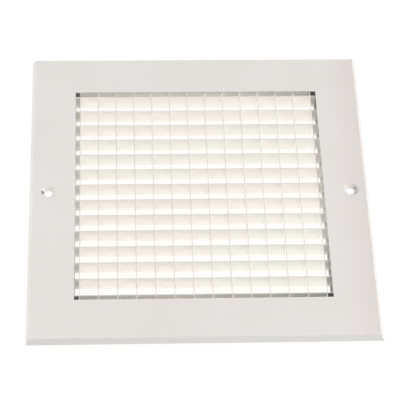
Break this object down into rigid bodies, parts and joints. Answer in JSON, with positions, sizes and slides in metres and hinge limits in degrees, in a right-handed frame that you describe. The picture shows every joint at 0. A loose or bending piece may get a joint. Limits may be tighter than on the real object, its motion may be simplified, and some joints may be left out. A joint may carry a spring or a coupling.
{
  "type": "eggcrate grille",
  "caption": "Square white eggcrate air grille: a mitred aluminium frame with a slanted outer lip, countersunk screw holes and a shallow neck, closed round a fixed core of interlocked blades.",
  "frame": {"origin": "centre of the neck's rear rim, on which the grille lies face up", "axes": "+Z out of the face, +X to the right and +Y up the grille, seen from the face"},
  "size_m": [0.2354, 0.2354, 0.0148],
  "materials": {
    "white_frame": "satin white powder coat on aluminium",
    "white_blade": "satin white coil coat on thin aluminium strip",
    "key_metal": "bare mill finish"
  },
  "bodies": {
    "root": {"frame_bottom": "white_frame", "frame_right": "white_frame", "frame_top": "white_frame", "frame_left": "white_frame", "corner_key_01": "key_metal", "corner_key_02": "key_metal", "corner_key_03": "key_metal", "corner_key_04": "key_metal", "cross_blade_01": "white_blade", "cross_blade_02": "white_blade", "cross_blade_03": "white_blade", "cross_blade_04": "white_blade", "cross_blade_05": "white_blade", "cross_blade_06": "white_blade", "cross_blade_07": "white_blade", "cross_blade_08": "white_blade", "cross_blade_09": "white_blade", "cross_blade_10": "white_blade", "cross_blade_11": "white_blade", "cross_blade_12": "white_blade", "cross_blade_13": "white_blade", "cross_blade_14": "white_blade", "upright_blade_01": "white_blade", "upright_blade_02": "white_blade", "upright_blade_03": "white_blade", "upright_blade_04": "white_blade", "upright_blade_05": "white_blade", "upright_blade_06": "white_blade", "upright_blade_07": "white_blade", "upright_blade_08": "white_blade", "upright_blade_09": "white_blade", "upright_blade_10": "white_blade", "upright_blade_11": "white_blade", "upright_blade_12": "white_blade", "upright_blade_13": "white_blade", "upright_blade_14": "white_blade"}
  },
  "joints": []
}
